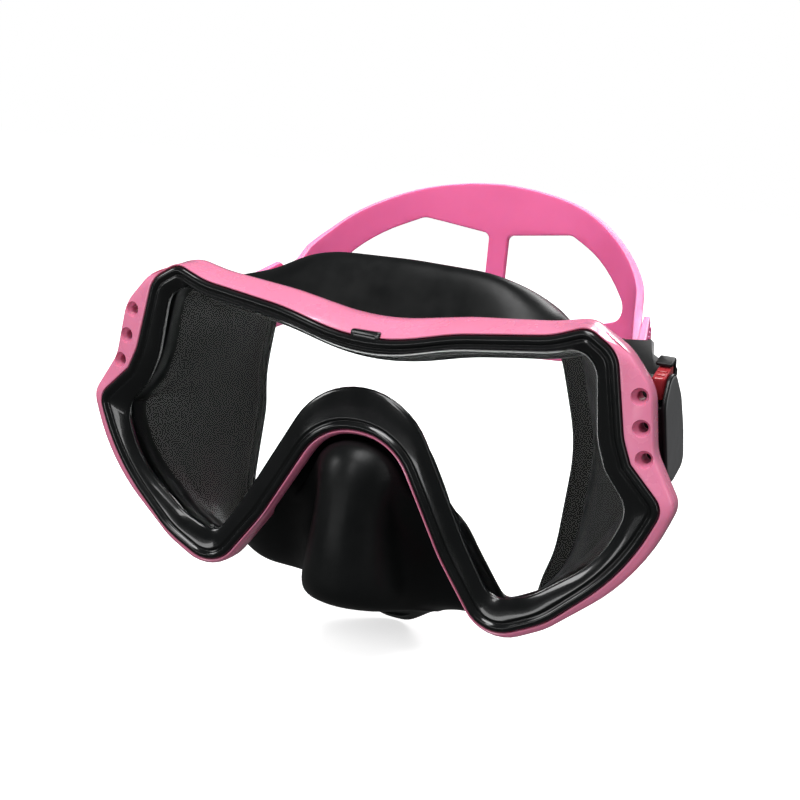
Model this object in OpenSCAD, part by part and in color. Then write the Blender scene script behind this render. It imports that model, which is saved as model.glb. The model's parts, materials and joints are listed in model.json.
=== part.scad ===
// Single-lens diving mask with a split strap and squeeze-to-release swivel buckles.
// +X is the wearer's left, the lens faces -Y and +Z is up.
// The origin is the centre of the opening that seals on the wearer's face.

/* [Lens and ring] */
// Thickness of the tempered lens
lens_t = 4; // [3.4:0.1:4.2]
// Thickness of the front retaining ring
ring_t = 3.2; // [2.6:0.1:3.4]
// Width of the brow clip tab
clip_w = 8.5; // [6:0.5:10]

/* [Frame] */
// Radius of the dished recess round each wing hole
dish_r = 2.2; // [1.6:0.1:2.4]
// Radius of each hole through the wing
wing_hole_r = 1.2; // [0.8:0.1:1.4]
// Radius of the boss that carries a buckle
boss_r = 4.7; // [4:0.1:4.8]

/* [Skirt] */
// Wall thickness of the silicone skirt
skirt_t = 1.8; // [1.4:0.1:2]
// Number of points around the skirt
skirt_n = 96; // [72:24:96]

/* [Strap] */
// Thickness of the strap
strap_t = 2.4; // [2:0.1:2.6]
// Width of the single run of strap beside a buckle
strap_w = 17; // [15:0.5:17]
// Length of the ribbed tail doubled back behind a buckle
tail_len = 34; // [26:1:36]

/* [Buckle] */
// Pitch of the buckles and strap at rest
strap_pitch = 18; // [14:1:20]
// Radius of the swivel pin
pin_r = 2.5; // [2:0.1:2.6]
// Radial running clearance of the pins
run_gap = 0.06; // [0.03:0.01:0.1]
// Travel of a release button
button_travel = 1.6; // [1:0.1:1.8]
// Thickness of the outer cover
cover_t = 1.6; // [1.2:0.1:1.8]

/* [Hidden] */
$fn = 40;

// Depths along Y, counted from the face opening
front_y = -40;
ring_back_y = front_y + ring_t;
lens_back_y = ring_back_y + lens_t;
seat_back_y = lens_back_y + 2.4;
frame_front_y = -38.6;
frame_mid_y = -35.5;
frame_back_y = -31.6;

// Arm beside the skirt that carries a buckle
lug_x0 = 66.6;
lug_x1 = 69.2;
lug_y = -29.4;
lug_h = 6.8;

// Swivel axis of the buckles, which runs along X
pivot_y = -18;
pivot_z = 20;

// Corners of the front ring as [x, z, corner radius], brow centre to nose
ring_brow = [0, 30.5, 58];
ring_corners = [
    [25, 37, 72],
    [50, 40.5, 26],
    [59, 44, 5],
    [67, 39, 8],
    [71, 18.5, 17],
    [73.5, 12.5, 2],
    [83, 3, 5],
    [75.5, -15, 60],
    [57, -32.5, 29],
    [41, -40.5, 10],
    [27, -21.5, 51],
    [10.5, 7.5, 17]
];

// Corners of the clear opening inside the ring, in the same order
opening_brow = [0, 26.3, 50];
opening_corners = [
    [24, 32.6, 70],
    [50, 36, 26],
    [57.5, 38.5, 6],
    [62, 34, 7],
    [64.2, 17, 24],
    [67, 9.5, 10],
    [74, 1, 7],
    [69.5, -13, 32],
    [52.5, -26.5, 16],
    [41.8, -30.5, 6],
    [33, -17, 55],
    [13, 18.9, 22]
];

// Corners of the frame behind the ring, with the two wings, in the same order
frame_brow = [0, 36.5, 70];
frame_corners = [
    [26, 41, 80],
    [48, 43.2, 50],
    [58, 45.4, 8],
    [69, 40, 14],
    [76.3, 31, 12],
    [78.6, 15.5, 12],
    [85.8, 3.5, 6],
    [79, -15.8, 55],
    [57, -34.6, 23],
    [41, -43, 12],
    [25.6, -21.2, 50],
    [9.4, 6, 15]
];

// Corners of the edge that seals on the face, forehead centre to upper lip
rim_brow = [0, 51.5, 60];
rim_corners = [
    [32, 50.5, 40],
    [48, 38, 24],
    [54.5, 10, 50],
    [54, -25, 30],
    [47, -45.5, 14],
    [20, -45.5, 16],
    [4, -57, 8]
];
// Depth of that edge by its direction from the centre, in degrees above +X
rim_depth = [[-90, 0], [-60, -8], [-35, -4], [0, 3], [35, -3], [60, -12], [90, -13]];

// Nose pocket sections as [half width, y, z, setback and drop of its sides, share that
// follows the lens's arch], top to bottom
nose_sections = [
    [11, -34, 4.6, 2, 7, 1],
    [11, -40, 3.2, 5, 7, 0.75],
    [10, -45, -4, 8, 5, 0.35],
    [11, -48, -16, 13, 2, 0.1],
    [13, -49.5, -28, 16, 0, 0],
    [14.5, -48.5, -36, 17, 0, 0],
    [15, -43, -40.5, 14, 0, 0],
    [16, -32, -43, 8, 0, 0],
    [18, -14, -47, 2, 0, 0]
];
// Share of the half loop that the nose pocket takes, and where it fades out
nose_full = 0.1;
nose_end = 0.17;

// Holes through a wing as [x, z]
wing_holes = [[73.6, 29.3], [75, 21.7], [76.7, 14.3]];

// Strap route seen from above as [x, y, corner radius], from a buckle to the back centre
strap_route = [[62.9, -5, 0], [52.6, 32.5, 22], [29, 51, 40], [0, 53, 120]];
// Outer edge of the split part seen from behind as [x, z, corner radius]
strap_top = [[62, 38, 0], [57, 41.5, 6], [49, 55.5, 40], [31, 67, 58], [11, 71.2, 80], [0, 71.6, 0]];
strap_bottom = [[0, 17, 30], [27, 19.5, 10], [40, 24.5, 30], [62, 21, 0]];
// One of the two windows between its bands
strap_window = [[3.2, 55.8, 2], [25, 58.6, 4], [40, 51.5, 40], [50.5, 37.8, 4.5],
                [40, 34, 20], [25, 31.6, 4], [3.2, 31, 2]];
// Single run seen from the side as [y, z], upper edge then lower edge
strap_side = [[-7, 33.9], [18, 40.2], [23, 42.4], [27, 46.8], [31, 51.5],
              [31, 22.9], [22, 22.8], [-1.5, 17.7]];
// Plane where the single run meets the split part
split_y = 30;

// Buckle, in its own frame: X outward, Y along the strap, Z across it
plate_x0 = 69.5;
plate_t = 3;
plate_x1 = plate_x0 + plate_t;
strap_mid = 1;
roller_y = 9.5;
roller_x = 65;
roller_r = 1.7;
roller_pin_r = 0.8;
yaw = 15.5;
arm_gap = 0.5;
arm_t = 2.3;
arm_in = strap_w / 2 + arm_gap;
arm_out = arm_in + arm_t;
loop_y0 = 6.5;
loop_y1 = 11.5;
loop_in = strap_t + 0.5;
loop_out = loop_in + 1.2;
button_x0 = 73;
button_x1 = 76.4;
button_y0 = -3.5;
button_y1 = 4.5;
button_z0 = 9.2;
button_z1 = 15.8;
guide_x1 = 76.6;
guide_z = button_z0 - button_travel - 2.6;
spring_x = 75.3;
spring_r = 1.2;
spring_wire_r = 0.28;
pawl_x = 74.6;
pawl_y = 5.4;
pawl_pin_r = 0.8;

// ---- outlines ----

function unit(v) = v / norm(v);
function flat(lists) = [for (l = lists) for (p = l) p];
function sweep(a, b) = (b - a + 540) % 360 - 180;

// Points of the arc that rounds corner p between its neighbours a and b
function corner_arc(a, p, b) =
    let (
        here = [p[0], p[1]],
        u = unit([a[0], a[1]] - here),
        w = unit([b[0], b[1]] - here),
        half = acos(u * w) / 2
    )
    p[2] <= 0 || half > 89.7 ? [here] :
    let (
        middle = here + unit(u + w) * p[2] / sin(half),
        s = here + u * p[2] / tan(half) - middle,
        e = here + w * p[2] / tan(half) - middle,
        from = atan2(s[1], s[0]),
        turn = sweep(from, atan2(e[1], e[0])),
        n = max(1, ceil(abs(turn) / 9))
    )
    [for (i = [0 : n]) middle + p[2] * [cos(from + turn * i / n), sin(from + turn * i / n)]];

// Closed outline through rounded corners
function outline(cs) =
    let (n = len(cs))
    flat([for (i = [0 : n - 1]) corner_arc(cs[(i + n - 1) % n], cs[i], cs[(i + 1) % n])]);

// Open line through rounded corners
function route(cs) =
    flat([for (i = [0 : len(cs) - 1])
        i == 0 || i == len(cs) - 1 ? [[cs[i][0], cs[i][1]]] : corner_arc(cs[i - 1], cs[i], cs[i + 1])]);

function mirrored(c) = [-c[0], c[1], c[2]];
function backwards(list) = [for (i = [len(list) - 1 : -1 : 0]) list[i]];
// Rounded outline of a symmetric shape, clockwise seen from the front
function both(first, cs) = outline(concat([first], cs, [for (c = backwards(cs)) mirrored(c)]));

// n points spaced evenly along a closed outline, starting at its first point
function running(pts, i = 0, sum = 0) =
    i >= len(pts) ? [sum] :
    concat([sum], running(pts, i + 1, sum + norm(pts[(i + 1) % len(pts)] - pts[i])));
function spaced(pts, n) =
    let (
        at = running(pts),
        xs = [for (i = [0 : len(pts)]) [at[i], pts[i % len(pts)][0]]],
        zs = [for (i = [0 : len(pts)]) [at[i], pts[i % len(pts)][1]]]
    )
    [for (i = [0 : n - 1])
        let (s = at[len(pts)] * i / n)
        [lookup(s, xs), lookup(s, zs)]];

// A symmetric outline as n even points from its bottom centre
function from_bottom(pts, n) =
    let (
        m = len(pts),
        low = [for (k = [floor(m / 4) : floor(3 * m / 4)])
            if (pts[k][0] > 0 && pts[(k + 1) % m][0] < 0) k][0],
        a = pts[low],
        b = pts[low + 1],
        start = a + (b - a) * a[0] / (a[0] - b[0])
    )
    spaced(concat([start], [for (i = [1 : m]) pts[(low + i) % m]]), n);

ring_line = both(ring_brow, ring_corners);
opening_line = both(opening_brow, opening_corners);
frame_line = both(frame_brow, frame_corners);

// Slab between two depths, from a shape drawn in X and Z
module slab(y0, y1) {
    translate([0, y1, 0]) rotate([90, 0, 0]) linear_extrude(y1 - y0) children();
}

// The ring's outline drawn in by d
module ring_shape(d) {
    if (d == 0) polygon(ring_line);
    else offset(delta = -d) polygon(ring_line);
}

// ---- front of the mask ----

module frame() {
    recess_y = ring_back_y + 0.1;
    color("pink")
    difference() {
        union() {
            slab(frame_front_y, recess_y) difference() {
                offset(delta = -1.1) polygon(frame_line);
                ring_shape(-0.1);
            }
            slab(recess_y, frame_mid_y) difference() {
                offset(delta = -0.5) polygon(frame_line);
                ring_shape(1.2);
            }
            slab(frame_mid_y, frame_back_y) difference() {
                polygon(frame_line);
                ring_shape(1.2);
                translate([-26, -25]) square([52, 41]);
            }
            slab(frame_back_y, frame_back_y + 3) difference() {
                intersection() {
                    offset(delta = -0.6) polygon(frame_line);
                    translate([-62, 29]) square([124, 30]);
                }
                ring_shape(1.2);
            }
            for (side = [-1, 1]) lug(side);
        }
        brow_notch();
        for (side = [-1, 1]) {
            wing_hole_set(side);
            pin_hole(side);
        }
    }
}

module brow_notch() {
    translate([-clip_w / 2 - 0.2, frame_front_y - 1, 30]) cube([clip_w + 0.4, 3, 5.4]);
}

module wing_hole_set(side) {
    for (h = wing_holes)
        translate([side * h[0], frame_front_y - 1, h[1]]) rotate([-90, 0, 0]) {
            cylinder(h = 12, r = wing_hole_r);
            cylinder(h = 2.6, r = dish_r);
        }
}

// Side arm that carries a buckle, with its boss round the swivel axis
module lug(side) {
    scale([side, 1, 1]) {
        translate([lug_x0, pivot_y, pivot_z]) rotate([0, 90, 0])
            cylinder(h = lug_x1 - lug_x0, r = boss_r);
        translate([lug_x0, lug_y, pivot_z - lug_h])
            cube([lug_x1 - lug_x0, pivot_y - lug_y - 2, 2 * lug_h]);
        translate([lug_x0, lug_y, pivot_z - lug_h]) cube([5, 1, 2 * lug_h]);
        translate([lug_x1 + 0.5, frame_back_y - 0.5, pivot_z - lug_h]) cube([2, 3, 2 * lug_h]);
    }
}

module pin_hole(side) {
    translate([side * 67, pivot_y, pivot_z]) rotate([0, 90, 0])
        cylinder(h = 12, r = pin_r, center = true);
}

module retaining_ring() {
    color("#141416")
    union() {
        difference() {
            slab(front_y, ring_back_y) difference() {
                ring_shape(0);
                polygon(opening_line);
            }
            groove();
        }
        clip_tab();
    }
}

// Shallow groove round the front face of the ring
module groove() {
    difference() {
        slab(front_y - 1, front_y + 0.7) ring_shape(1.5);
        slab(front_y - 2, front_y + 1) ring_shape(2.4);
    }
}

module clip_tab() {
    translate([-clip_w / 2, front_y + 0.6, 30.8]) cube([clip_w, 1.6, 3.8]);
}

module lens() {
    color("white", 0.25)
    slab(ring_back_y, lens_back_y) ring_shape(2.8);
}

// ---- skirt ----

function smooth(t) = let (u = min(max(t, 0), 1)) u * u * (3 - 2 * u);
function blend(a, b, t) = a * (1 - t) + b * t;
// Share of the half loop from the nose for point i of the skirt, 0 to 1
function along(i) = min(i, skirt_n - i) / (skirt_n / 2);
function side_of(i) = i <= skirt_n / 2 ? -1 : 1;

// The ring's outline as even points, and the same points drawn in by d at depth y
ring_even = from_bottom(ring_line, skirt_n);
function drawn_in(d, y) =
    [for (i = [0 : skirt_n - 1])
        let (v = unit(ring_even[(i + 1) % skirt_n] - ring_even[(i + skirt_n - 1) % skirt_n]))
        [ring_even[i][0] + v[1] * d, y, ring_even[i][1] - v[0] * d]];

// Share of the nose pocket's shape at point i
function nose_share(i) = 1 - smooth((along(i) - nose_full) / (nose_end - nose_full));
// Even points that are drawn in by d0 at depth y0 on the sides, and by d1 at y1 at the nose
function seat_line(d0, y0, d1, y1) =
    let (plain = drawn_in(d0, y0), nose = drawn_in(d1, y1))
    [for (i = [0 : skirt_n - 1]) blend(plain[i], nose[i], nose_share(i))];

seat_loop = seat_line(3.6, seat_back_y, 1.5, seat_back_y + 0.2);
turn_loop = seat_line(5.2, seat_back_y + 0.8, 0.9, seat_back_y + 0.5);
rim_loop = [for (p = from_bottom(both(rim_brow, rim_corners), skirt_n))
    [p[0], lookup(atan2(p[1], abs(p[0])), rim_depth), p[1]]];

// Wall between the seat and the rim for point i at section t of the plain side wall
function plain_wall(i, t) =
    let (
        f = seat_loop[i],
        r = rim_loop[i],
        a = [f[0] * 0.9, f[1] + 9, f[2]],
        b = r + [r[0] * 0.02, -9, r[2] * 0.05]
    )
    f * pow(1 - t, 3) + a * 3 * pow(1 - t, 2) * t + b * 3 * (1 - t) * t * t + r * pow(t, 3);

arch_line = drawn_in(-3, 0);
function nose_wall(i, k) =
    let (
        s = nose_sections[k],
        turn = 90 * min(1, along(i) / nose_full),
        back = 1 - cos(turn),
        y = s[1] + s[3] * back,
        free = [side_of(i) * s[0] * sin(turn), y, s[2] - s[4] * back],
        arch = [arch_line[i][0], y, arch_line[i][2]]
    )
    blend(free, arch, s[5]);

wall_n = len(nose_sections) + 1;
function wall_point(i, k) =
    let (plain = plain_wall(i, (k + 1) / (wall_n + 1)), w = nose_share(i))
    k == 0 ? turn_loop[i] :
    k >= wall_n ? rim_loop[i] :
    w <= 0 ? plain : blend(plain, nose_wall(i, k - 1), w);

wall_loops = [for (k = [0 : wall_n]) [for (i = [0 : skirt_n - 1]) wall_point(i, k)]];

// Direction into the mask at point i of wall loop k
function inward(k, i) =
    let (
        n = skirt_n,
        lo = k == 0 ? seat_loop : wall_loops[k - 1],
        hi = k == wall_n ? wall_loops[k] : wall_loops[k + 1]
    )
    unit(cross(hi[i] - lo[i], wall_loops[k][(i + 1) % n] - wall_loops[k][(i + n - 1) % n]));

outer_loops = concat(
    [drawn_in(1.5, ring_back_y + 0.05), drawn_in(1.5, seat_back_y), seat_loop],
    wall_loops);
inner_loops = concat(
    [drawn_in(2.3, ring_back_y + 0.05), drawn_in(2.3, lens_back_y + 0.05),
     seat_line(5.4, lens_back_y + 0.05, 5.4, lens_back_y + 2)],
    [for (k = [0 : wall_n]) [for (i = [0 : skirt_n - 1])
        wall_loops[k][i] + inward(k, i) * skirt_t * (1 - 0.5 * k / wall_n)]]);

module skirt() {
    n = skirt_n;
    loops = concat(outer_loops, backwards(inner_loops));
    m = len(loops);
    color("#1b1b1d")
    polyhedron(
        points = flat(loops),
        faces = flat([for (k = [0 : m - 1]) for (i = [0 : n - 1])
            let (a = k * n + i, b = k * n + (i + 1) % n, e = ((k + 1) % m) * n + (i + 1) % n,
                 d = ((k + 1) % m) * n + i)
            [[a, e, b], [a, d, e]]]));
}

// ---- strap ----

// Outline of a strip of thickness t along an open line
function strip(line, t) =
    let (
        n = len(line),
        normal = [for (i = [0 : n - 1])
            let (d = unit(line[min(i + 1, n - 1)] - line[max(i - 1, 0)]))
            [d[1], -d[0]]]
    )
    concat([for (i = [0 : n - 1]) line[i] + normal[i] * t / 2],
           [for (i = [n - 1 : -1 : 0]) line[i] - normal[i] * t / 2]);

half_route = route(strap_route);
back_route = concat(half_route, [for (p = backwards(half_route)) if (p[0] > 0.01) [-p[0], p[1]]]);

module strap() {
    color("hotpink")
    union() {
        intersection() {
            translate([0, 0, 5]) linear_extrude(80) polygon(strip(back_route, strap_t));
            slab(split_y - 0.5, 60) split_shape();
        }
        intersection() {
            translate([0, 0, 5]) linear_extrude(60) polygon(strip(back_route, strap_t));
            translate([-80, 0, 0]) rotate([90, 0, 90]) linear_extrude(160) polygon(strap_side);
        }
        for (side = [-1, 1]) on_side(side) strap_end();
    }
}

// Upper band, lower band and the bar between them, seen from behind
module split_shape() {
    top = route(strap_top);
    bottom = route(strap_bottom);
    difference() {
        polygon(concat(top, [for (p = backwards(top)) if (p[0] > 0.01) [-p[0], p[1]]],
                       [for (p = backwards(bottom)) if (p[0] > 0.01) [-p[0], p[1]]], bottom));
        for (side = [-1, 1]) scale([side, 1]) polygon(outline(strap_window));
    }
}

// The end that turns round the roller and runs back outside as a ribbed tail
module strap_end() {
    wrap_in = roller_r + 0.3;
    wrap_out = wrap_in + strap_t;
    yawed() translate([0, 0, strap_mid - strap_w / 2]) {
        linear_extrude(strap_w) {
            difference() {
                circle(r = wrap_out);
                circle(r = wrap_in);
                translate([-10, 0]) square([20, 10]);
            }
            polygon([[-wrap_out, 0], [-wrap_in, 0], [-0.15, 6], [-0.15, 14],
                     [-0.15 - strap_t, 14], [-0.15 - strap_t, 6]]);
            polygon([[wrap_out, 0], [wrap_in, 0], [0.15, 6], [0.15, 16], [2, tail_len],
                     [2 + strap_t * 0.7, tail_len], [0.15 + strap_t, 16], [0.15 + strap_t, 6]]);
        }
        for (y = [17 : 3 : tail_len - 3])
            translate([strap_t + (y - 16) * 0.06, y, 3]) cube([0.9, 1.2, strap_w - 6]);
    }
}

// ---- buckles ----

// Puts a right-hand buckle part on the side given, at its rest pitch
module on_side(side) {
    mirror([side > 0 ? 0 : 1, 0, 0])
        translate([0, pivot_y, pivot_z]) rotate([strap_pitch, 0, 0]) children();
}

// Axes of the rear of a buckle: the origin on the roller, turned inward along the strap
module yawed() {
    translate([roller_x, roller_y, 0]) rotate([0, 0, yaw]) children();
}

module across(x0, x1, r) {
    translate([x0, 0, 0]) rotate([0, 90, 0]) cylinder(h = x1 - x0, r = r);
}

module pivot_pin() {
    color("silver")
    union() {
        across(lug_x0 - 1.5, lug_x0, 4.2);
        across(lug_x0, 74.2, pin_r);
    }
}

module pivot_clip() {
    color("silver")
    difference() {
        across(plate_x1 + 0.25, plate_x1 + 1.05, 4);
        across(60, 80, pin_r);
    }
}

module plate_shape() {
    polygon(outline([[-8, -5, 6], [-8, 5.5, 6], [-4.6, arm_out + strap_mid, 2],
                     [4.6, arm_out + strap_mid, 1], [4.6, strap_mid - arm_out, 1],
                     [-4.6, strap_mid - arm_out, 2]]));
}

module buckle_housing() {
    color("#222226")
    difference() {
        union() {
            translate([plate_x0, 0, 0]) rotate([90, 0, 90]) linear_extrude(plate_t) plate_shape();
            for (end = [-1, 1]) scale_z(end) {
                arm();
                button_guide();
            }
            yawed() {
                loop_bar(-loop_out, -loop_in);
                loop_bar(loop_in, loop_out);
            }
            front_wall();
        }
        across(60, 80, pin_r + run_gap);
        yawed() translate([0, 0, -20]) cylinder(h = 40, r = roller_pin_r);
        translate([pawl_x, pawl_y, -20]) cylinder(h = 40, r = pawl_pin_r);
    }
}

// Side arm from the plate back to the strap loop
module arm() {
    translate([0, 0, strap_mid + arm_in]) linear_extrude(arm_t)
        polygon([[plate_x0, 1], [plate_x1, 1], [button_x0 - 0.2, button_y1 + 0.4],
                 [guide_x1, button_y1 + 0.4], [guide_x1, 7.5], [plate_x1, 9.5], [68.8, 13],
                 [66.6, 20.8], [58.2, 18.6], [60.4, 9], [64, 3.5]]);
}

module loop_bar(x0, x1) {
    translate([x0, loop_y0, strap_mid - arm_out]) cube([x1 - x0, loop_y1 - loop_y0, 2 * arm_out]);
}

// Walls that a release button slides between, the rear one higher, with the seat of its spring
module button_guide() {
    for (wall = [[button_y0 - 1.3, arm_out + strap_mid], [button_y1 + 0.2, button_z1 - 0.4]])
        translate([plate_x1 - 0.2, wall[0], guide_z])
            cube([guide_x1 - plate_x1 + 0.2, 1.1, wall[1] - guide_z]);
    translate([spring_x - 0.9, button_y0 - 1.3, guide_z])
        cube([guide_x1 - spring_x + 0.9, button_y1 - button_y0 + 2.6, 0.8]);
}

// Wall along the front edge, under the cover
module front_wall() {
    translate([plate_x1 - 0.2, -8, -4]) cube([4.4, 1.2, 9]);
}

// Corners of the cover seen from the side as [y, z, corner radius]
cover_corners = [[-9.2, -10, 5], [-9.6, 10, 6], [-4, 14.5, 5], [1, 14.5, 5], [5.5, 6, 8],
                 [7, -4, 10], [6.6, -14.5, 4], [-5, -14.5, 4]];

module buckle_cover() {
    lean = 4;
    color("#5c5f63")
    intersection() {
        translate([plate_x1, 0, 0]) rotate([90, 0, 90]) linear_extrude(12)
            polygon(outline(cover_corners));
        translate([79.3 - cover_t / 2, 0, 0]) rotate([0, -lean, 0])
            cube([cover_t, 40, 50], center = true);
    }
}

// Toothed roller that the strap runs round
module strap_roller() {
    color("#3a3a3e")
    yawed() translate([0, 0, strap_mid - strap_w / 2]) difference() {
        union() {
            cylinder(h = strap_w, r = roller_r - 0.3);
            for (a = [0 : 45 : 315])
                rotate([0, 0, a]) translate([roller_r - 0.6, -0.25, 1]) cube([0.5, 0.5, strap_w - 2]);
        }
        translate([0, 0, -1]) cylinder(h = strap_w + 2, r = roller_pin_r + run_gap);
    }
}

module roller_pin() {
    color("silver")
    yawed() translate([0, 0, strap_mid - arm_out]) cylinder(h = 2 * arm_out, r = roller_pin_r);
}

// Release button with its finger pad outside and its ramp inside
module release_button(end) {
    color("#c8141c")
    scale_z(end) union() {
        translate([button_x0, button_y0, button_z0])
            cube([button_x1 - button_x0, button_y1 - button_y0, button_z1 - button_z0]);
        translate([button_x0, button_y0 + 1.5, button_z0 - 1.4])
            cube([0.9, button_y1 - button_y0 - 3, 1.6]);
    }
}

// Mirrors across the strap's middle when end is -1
module scale_z(end) {
    translate([0, 0, strap_mid]) mirror([0, 0, end > 0 ? 0 : 1]) translate([0, 0, -strap_mid])
        children();
}

// Coil spring that pushes a release button back out
module button_spring(end) {
    turns = 3;
    seat_z = guide_z + 0.8;
    rise = (button_z0 - seat_z) / turns;
    color("silver")
    scale_z(end) for (i = [0 : turns - 1])
        translate([spring_x, 0.5, seat_z + rise * (i + 0.5)])
            rotate_extrude($fn = 24) translate([spring_r - spring_wire_r, 0])
                circle(r = spring_wire_r, $fn = 16);
}

// Pawl that holds the strap on the roller until the buttons lift it
module release_pawl() {
    color("#3a3a3e")
    difference() {
        translate([0, 0, strap_mid - 3.5]) linear_extrude(7)
            polygon([[pawl_x + 1.2, pawl_y - 1.2], [pawl_x + 1.2, pawl_y + 1.2],
                     [pawl_x - 1, pawl_y + 1.8], [pawl_x - 4.4, pawl_y + 2.8],
                     [pawl_x - 4.6, pawl_y + 1.9], [pawl_x - 1.2, pawl_y - 1]]);
        translate([pawl_x, pawl_y, -10]) cylinder(h = 20, r = pawl_pin_r + run_gap);
    }
}

module pawl_pin() {
    color("silver")
    translate([pawl_x, pawl_y, strap_mid - arm_out]) cylinder(h = 2 * arm_out, r = pawl_pin_r);
}

// Every node of one buckle, by its name without the side
module buckle_node(part) {
    if (part == "pivot_pin") pivot_pin();
    if (part == "pivot_clip") pivot_clip();
    if (part == "buckle_housing") buckle_housing();
    if (part == "buckle_cover") buckle_cover();
    if (part == "strap_roller") strap_roller();
    if (part == "roller_pin") roller_pin();
    if (part == "upper_button") release_button(1);
    if (part == "lower_button") release_button(-1);
    if (part == "upper_button_spring") button_spring(1);
    if (part == "lower_button_spring") button_spring(-1);
    if (part == "release_pawl") release_pawl();
    if (part == "pawl_pin") pawl_pin();
}

BUCKLE_PARTS = ["pivot_pin", "pivot_clip", "buckle_housing", "buckle_cover", "strap_roller",
                "roller_pin", "upper_button", "lower_button", "upper_button_spring",
                "lower_button_spring", "release_pawl", "pawl_pin"];

frame();
retaining_ring();
lens();
skirt();
strap();
for (part = BUCKLE_PARTS) {
    on_side(1) buckle_node(part);
    on_side(-1) buckle_node(part);
}
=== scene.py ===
import json
import math

import bmesh
import bpy
from mathutils import Matrix, Vector


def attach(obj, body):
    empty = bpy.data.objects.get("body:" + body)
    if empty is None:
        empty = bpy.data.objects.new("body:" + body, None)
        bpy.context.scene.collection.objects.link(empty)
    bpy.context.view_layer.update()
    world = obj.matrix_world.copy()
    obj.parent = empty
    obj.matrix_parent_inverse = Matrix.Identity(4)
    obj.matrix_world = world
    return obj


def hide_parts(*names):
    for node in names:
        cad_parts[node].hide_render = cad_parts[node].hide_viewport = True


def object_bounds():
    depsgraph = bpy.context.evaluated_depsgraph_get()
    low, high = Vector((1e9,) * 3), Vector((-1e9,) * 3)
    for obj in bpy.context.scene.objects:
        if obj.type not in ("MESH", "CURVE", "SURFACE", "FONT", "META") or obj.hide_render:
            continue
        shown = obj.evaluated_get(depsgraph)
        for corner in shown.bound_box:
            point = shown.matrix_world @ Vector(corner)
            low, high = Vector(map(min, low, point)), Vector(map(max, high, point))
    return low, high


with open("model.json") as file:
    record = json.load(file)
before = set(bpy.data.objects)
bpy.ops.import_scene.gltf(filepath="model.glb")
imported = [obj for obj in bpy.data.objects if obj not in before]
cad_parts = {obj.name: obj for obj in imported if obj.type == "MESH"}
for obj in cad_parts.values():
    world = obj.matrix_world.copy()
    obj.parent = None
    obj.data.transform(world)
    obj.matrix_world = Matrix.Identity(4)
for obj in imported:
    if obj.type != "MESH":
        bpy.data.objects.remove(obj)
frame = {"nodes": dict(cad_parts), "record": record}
cad_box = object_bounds()

MM = 0.001
SIDES = {"left": 1, "right": -1}
FLOOR_SIZE = 6
FLOOR_GAP = 0.0004
# How much each kind of ray takes from the strength of the white surroundings
DIMMED = (("Is Glossy Ray", -0.9), ("Is Diffuse Ray", -0.6))

# ---------------------------------------------------------------- camera, floor and light


def make_camera():
    right = Vector((0.90374, 0.41770, 0.09383))
    up = Vector((-0.16939, 0.14760, 0.97444))
    back = Vector((0.39317, -0.89652, 0.20415))
    data = bpy.data.cameras.new("camera")
    data.lens = 60.75
    data.sensor_width = 36
    data.clip_start = 0.01
    cam = bpy.data.objects.new("camera", data)
    turn = Matrix((right, up, back)).transposed().to_4x4()
    cam.matrix_world = Matrix.Translation((0.14889, -0.35243, 0.08917)) @ turn
    bpy.context.scene.collection.objects.link(cam)
    bpy.context.scene.camera = cam


def area_light(name, place, aim, size, power, shape_y=None):
    data = bpy.data.lights.new(name, "AREA")
    data.shape = "RECTANGLE"
    data.size = size
    data.size_y = shape_y or size
    data.energy = power
    lamp = bpy.data.objects.new(name, data)
    lamp.location = place
    lamp.rotation_euler = (Vector(aim) - Vector(place)).to_track_quat("-Z", "Y").to_euler()
    bpy.context.scene.collection.objects.link(lamp)


def make_stage():
    world = bpy.data.worlds.new("world")
    world.use_nodes = True
    tree = world.node_tree
    background = tree.nodes["Background"]
    background.inputs["Color"].default_value = (1, 1, 1, 1)
    path = tree.nodes.new("ShaderNodeLightPath")
    strength = None
    for ray, change in DIMMED:
        step = tree.nodes.new("ShaderNodeMath")
        step.operation = "MULTIPLY_ADD"
        step.inputs[1].default_value = change
        step.inputs[2].default_value = 1
        tree.links.new(path.outputs[ray], step.inputs[0])
        if strength:
            tree.links.new(strength, step.inputs[2])
        strength = step.outputs[0]
    tree.links.new(strength, background.inputs["Strength"])
    bpy.context.scene.world = world
    bpy.context.scene.view_settings.view_transform = "Standard"
    floor_z = cad_box[0][2] - FLOOR_GAP
    bpy.ops.mesh.primitive_plane_add(size=FLOOR_SIZE, location=(0, 0, floor_z))
    floor = bpy.context.object
    floor.name = "floor"
    mat, nodes, links, shader = new_material("floor_white")
    shader.inputs["Base Color"].default_value = (0.92, 0.92, 0.92, 1)
    shader.inputs["Roughness"].default_value = 0.8
    shader.inputs["Emission Color"].default_value = (1, 1, 1, 1)
    shader.inputs["Emission Strength"].default_value = 0.66
    floor.data.materials.append(mat)
    floor.visible_glossy = False
    floor.visible_diffuse = False
    area_light("key", (0.05, -0.3, 0.85), (0, 0, 0), 0.45, 8.5)
    area_light("fill", (-0.75, -0.45, 0.35), (0, 0, 0), 0.25, 2.2)
    area_light("strip", (0.75, -0.15, 0.35), (0.03, 0, 0), 0.06, 1.0, 0.8)
    area_light("rear", (0.1, 0.8, 0.6), (0, 0, 0), 0.4, 3.5)
    area_light("bridge", (-0.05, -0.75, 0.5), (0, 0, 0), 0.12, 1.6, 0.4)
    area_light("low", (-0.2, -0.6, -0.02), (0, 0, 0), 0.5, 0.5, 0.04)


# ---------------------------------------------------------------- materials


def new_material(name):
    mat = bpy.data.materials.new(name)
    mat.use_nodes = True
    nodes = mat.node_tree.nodes
    return mat, nodes, mat.node_tree.links, nodes["Principled BSDF"]


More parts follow.
